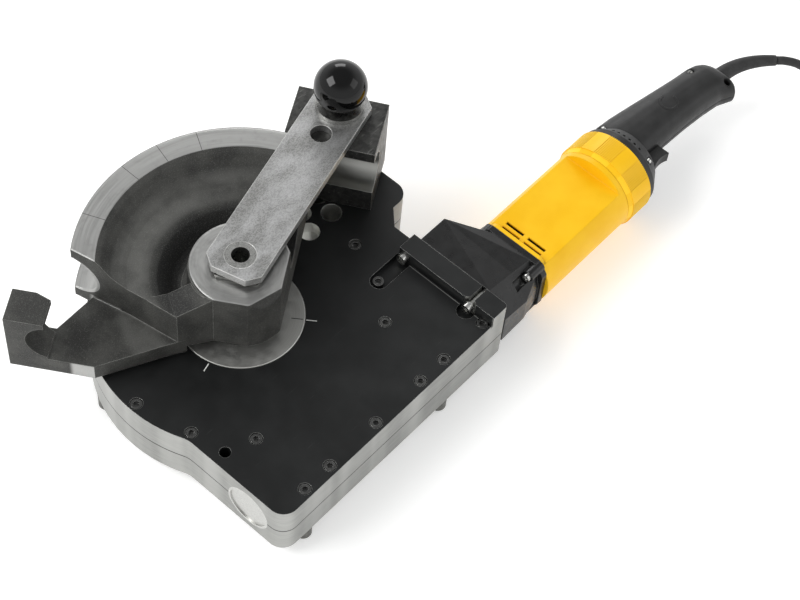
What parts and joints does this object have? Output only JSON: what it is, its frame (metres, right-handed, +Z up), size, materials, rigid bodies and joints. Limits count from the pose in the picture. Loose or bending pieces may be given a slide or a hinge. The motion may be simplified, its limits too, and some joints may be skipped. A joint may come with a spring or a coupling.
{
  "type": "electric pipe bender",
  "caption": "Electric pipe bender: flat worm-gear housing on feet, turning grooved former with hook, swivelling slide block under a bar with plug bolt, and a side motor with handle and lead.",
  "frame": {"origin": "on the bench under the middle of the machine's box, lead, coil and plug left out", "axes": "+X along the motor and handle towards the lead; +Y from the motor's side of the housing towards the round side over the worm wheel; +Z up"},
  "size_m": [0.9444, 0.4705, 0.2137],
  "materials": {
    "black_aluminium": "satin black coating",
    "bare_aluminium": "as machined",
    "bright_steel": "machined",
    "flat_steel": "mill-finished flat bar, rubbed bright",
    "dark_steel": "black oxide",
    "grey_casting": "dark speckled casting skin with machined edges",
    "block_steel": "dark, oiled",
    "bronze": "machined",
    "copper": "enamelled wire",
    "core_steel": "laminated",
    "carbon": "matt",
    "brown_plastic": "moulded",
    "yellow_plastic": "smooth satin",
    "black_plastic": "fine grain",
    "ball_plastic": "polished",
    "black_rubber": "matt",
    "foot_steel": "dull"
  },
  "bodies": {
    "housing": {"lower_housing": "bare_aluminium", "upper_housing": "black_aluminium", "housing_screws": "dark_steel", "feet": "foot_steel", "bearing_plug": "bare_aluminium", "spindle_bearing_top": "bright_steel", "spindle_bearing_low": "bright_steel", "worm_bearings": "bright_steel", "counter_bearings": "bronze", "gear_neck": "black_aluminium", "flange_screws": "bright_steel", "neck_screws": "bright_steel", "motor_housing": "yellow_plastic", "stator": "core_steel", "stator_windings": "copper", "motor_bearings": "bright_steel", "rear_cap": "black_plastic", "cap_screws": "bright_steel", "handle_upper": "black_plastic", "handle_lower": "black_plastic", "handle_screws": "bright_steel", "switch_block": "black_plastic", "strain_relief": "black_rubber", "cord": "black_rubber", "cord_coil": "black_rubber", "mains_plug": "black_plastic", "plug_pins": "bright_steel"},
    "driver": {"driver_spindle": "bright_steel", "driver_disc": "bright_steel", "worm_wheel": "bronze", "wheel_key": "bright_steel", "bending_former": "grey_casting"},
    "worm": {"worm_shaft": "bright_steel", "clutch_spring": "core_steel", "clutch_nut": "dark_steel"},
    "slipping_gear": {"clutch_gear": "core_steel"},
    "countershaft": {"counter_shaft": "core_steel"},
    "armature": {"armature": "core_steel", "commutator": "copper", "cooling_fan": "black_plastic", "motor_pinion": "core_steel"},
    "direction_ring": {"direction_ring": "yellow_plastic", "brush_plate": "brown_plastic", "brush_holders": "bronze", "carbon_brushes": "carbon"},
    "trigger": {"trigger": "black_plastic"},
    "slide": {"slide_block": "block_steel"},
    "bar": {"support_bar": "flat_steel"},
    "bolt": {"plug_bolt": "bright_steel", "bolt_collar": "bright_steel", "ball_knob": "ball_plastic"}
  },
  "joints": [
    {"name": "driver_turn", "type": "hinge", "parent": "housing", "child": "driver", "pos_m": [-0.20947, 0.0137, 0.0752], "axis": [0, 0, 1], "range_deg": [-93, 87]},
    {"name": "worm_spin", "type": "hinge", "parent": "housing", "child": "worm", "pos_m": [-0.20947, -0.1109, 0.0452], "axis": [1, 0, 0], "range_deg": [-4700, 5000]},
    {"name": "armature_spin", "type": "hinge", "parent": "housing", "child": "armature", "pos_m": [0.06553, -0.1109, 0.0452], "axis": [1, 0, 0], "continuous": true},
    {"name": "countershaft_spin", "type": "hinge", "parent": "housing", "child": "countershaft", "pos_m": [-0.01947, -0.0869, 0.0452], "axis": [1, 0, 0], "continuous": true},
    {"name": "slipping_gear_spin", "type": "hinge", "parent": "housing", "child": "slipping_gear", "pos_m": [-0.03347, -0.1109, 0.0452], "axis": [1, 0, 0], "continuous": true},
    {"name": "direction_ring_turn", "type": "hinge", "parent": "housing", "child": "direction_ring", "pos_m": [0.14953, -0.1109, 0.0452], "axis": [1, 0, 0], "range_deg": [0, 30]},
    {"name": "trigger_press", "type": "slide", "parent": "housing", "child": "trigger", "axis": [0, 1, 0], "range_m": [0, 0.006], "stiffness_N_per_m": 400, "springref_m": -0.002},
    {"name": "slide_swivel", "type": "hinge", "parent": "housing", "child": "slide", "pos_m": [-0.03514, 0.06237, 0.0752], "axis": [0, 0, 1], "range_deg": [-15, 0]},
    {"name": "bar_lift", "type": "slide", "parent": "housing", "child": "bar", "axis": [0, 0, 1], "range_m": [0, 0.15]},
    {"name": "bolt_pull", "type": "slide", "parent": "bar", "child": "bolt", "axis": [0, 0, 1], "range_m": [0, 0.135]}
  ],
  "couplings": [
    {"joint": "worm_spin", "follows": "driver_turn", "ratio": -53},
    {"joint": "countershaft_spin", "follows": "armature_spin", "ratio": -0.33333},
    {"joint": "slipping_gear_spin", "follows": "armature_spin", "ratio": 0.11111}
  ]
}
